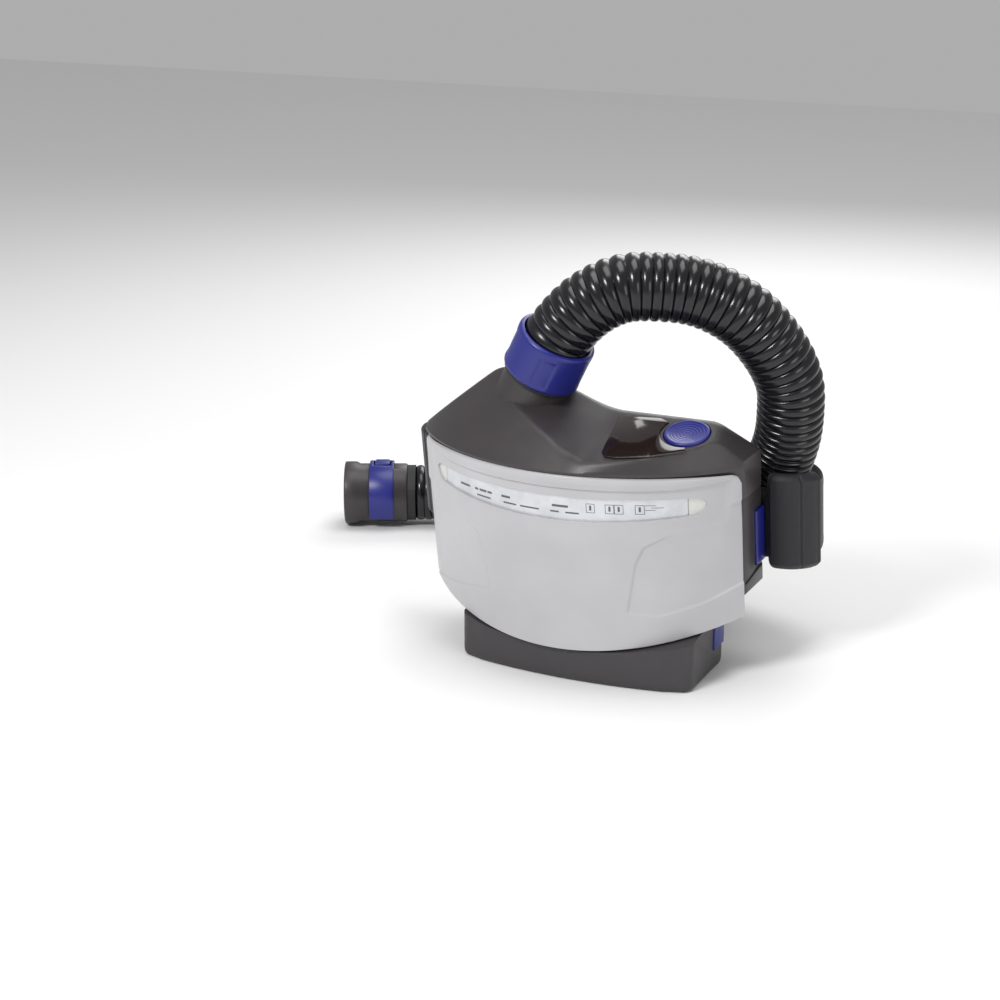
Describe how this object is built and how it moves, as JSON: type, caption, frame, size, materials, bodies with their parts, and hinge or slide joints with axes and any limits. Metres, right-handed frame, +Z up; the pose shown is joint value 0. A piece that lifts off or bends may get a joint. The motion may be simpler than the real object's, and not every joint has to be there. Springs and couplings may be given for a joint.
{
  "type": "powered air respirator",
  "caption": "Belt-worn respirator blower with swing-open filter cover, drop-out battery, power button, waist belt and a corrugated breathing tube that ends in a headtop connector.",
  "frame": {"origin": "point on the battery's flat underside, below the middle of the filter cover", "axes": "+Z up, -Y towards the filter cover at the front, +X towards the side with the cover latch"},
  "size_m": [0.441, 0.3115, 0.2774],
  "materials": {
    "casing": "satin",
    "cover": "satin",
    "blue_plastic": "satin",
    "battery_shell": "satin",
    "lens": "gloss",
    "label": "satin",
    "hose": "gloss",
    "soft_black": "matte",
    "webbing": "matte",
    "belt_pad": "matte",
    "buckle": "satin",
    "inner_black": "satin",
    "white_plastic": "satin",
    "filter_paper": "matte",
    "steel": "satin",
    "cell_sleeve": "satin",
    "circuit_board": "satin"
  },
  "bodies": {
    "unit": {"rear_housing": "casing", "top_housing": "casing", "belt_bracket": "casing", "headtop_connector": "casing", "release_band": "blue_plastic", "display_lens": "lens", "breathing_hose": "hose", "outlet_seal": "soft_black", "connector_seal": "soft_black", "hose_cuff": "soft_black", "headtop_cuff": "soft_black", "belt_webbing": "webbing", "hip_pad_left": "belt_pad", "hip_pad_right": "belt_pad", "back_pad": "belt_pad", "buckle_plug": "buckle", "buckle_socket": "buckle", "volute_base": "inner_black", "volute_cover": "inner_black", "outlet_duct": "inner_black", "button_switch": "inner_black", "sounder": "inner_black", "contact_block": "inner_black", "motor_case": "inner_black", "screw_1": "steel", "screw_2": "steel", "screw_3": "steel", "screw_4": "steel", "motor_stator": "steel", "bearing_front": "steel", "bearing_rear": "steel", "control_board": "circuit_board"},
    "cover": {"filter_cover": "cover", "filter_frame": "white_plastic", "filter_label": "label", "filter_media": "filter_paper", "filter_gasket": "soft_black"},
    "cover_latch": {"cover_latch": "blue_plastic"},
    "power_button": {"power_button": "blue_plastic"},
    "battery": {"battery_case": "battery_shell", "battery_lid": "battery_shell", "cell_1": "cell_sleeve", "cell_2": "cell_sleeve", "cell_3": "cell_sleeve", "cell_4": "cell_sleeve", "cell_5": "cell_sleeve", "cell_6": "cell_sleeve", "battery_board": "circuit_board", "contact_strip": "inner_black"},
    "battery_latch": {"battery_latch": "blue_plastic"},
    "fan": {"impeller": "white_plastic", "motor_rotor": "steel", "motor_shaft": "steel"},
    "collar": {"hose_collar": "blue_plastic"},
    "release_button": {"release_button": "blue_plastic"},
    "slider_left": {"webbing_slider_left": "buckle"},
    "slider_right": {"webbing_slider_right": "buckle"}
  },
  "joints": [
    {"name": "power_press", "type": "slide", "parent": "unit", "child": "power_button", "axis": [0, 0.3013, -0.9535], "range_m": [0, 0.0015], "stiffness_N_per_m": 600},
    {"name": "cover_swing", "type": "hinge", "parent": "unit", "child": "cover", "pos_m": [-0.1125, 0.0096, 0.09], "axis": [0, 0.158, -0.9874], "range_deg": [0, 60]},
    {"name": "cover_latch_press", "type": "slide", "parent": "unit", "child": "cover_latch", "axis": [-1, 0, 0], "range_m": [0, 0.0025], "stiffness_N_per_m": 800},
    {"name": "battery_release", "type": "slide", "parent": "unit", "child": "battery", "axis": [0, 0.158, -0.9874], "range_m": [0, 0.05]},
    {"name": "battery_latch_press", "type": "slide", "parent": "battery", "child": "battery_latch", "axis": [-1, 0, 0], "range_m": [0, 0.0025], "stiffness_N_per_m": 800},
    {"name": "impeller_spin", "type": "hinge", "parent": "unit", "child": "fan", "pos_m": [0.005, 0, 0.096], "axis": [0, 1, 0], "continuous": true},
    {"name": "collar_turn", "type": "hinge", "parent": "unit", "child": "collar", "pos_m": [-0.0265, 0, 0.196], "axis": [0.4573, -0.1115, 0.8823], "range_deg": [0, 40]},
    {"name": "release_press", "type": "slide", "parent": "unit", "child": "release_button", "axis": [0, 0, -1], "range_m": [0, 0.0015], "stiffness_N_per_m": 500},
    {"name": "slider_left_slide", "type": "slide", "parent": "unit", "child": "slider_left", "axis": [1, 0, 0], "range_m": [-0.008, 0.008]},
    {"name": "slider_right_slide", "type": "slide", "parent": "unit", "child": "slider_right", "axis": [1, 0, 0], "range_m": [-0.008, 0.008]}
  ]
}
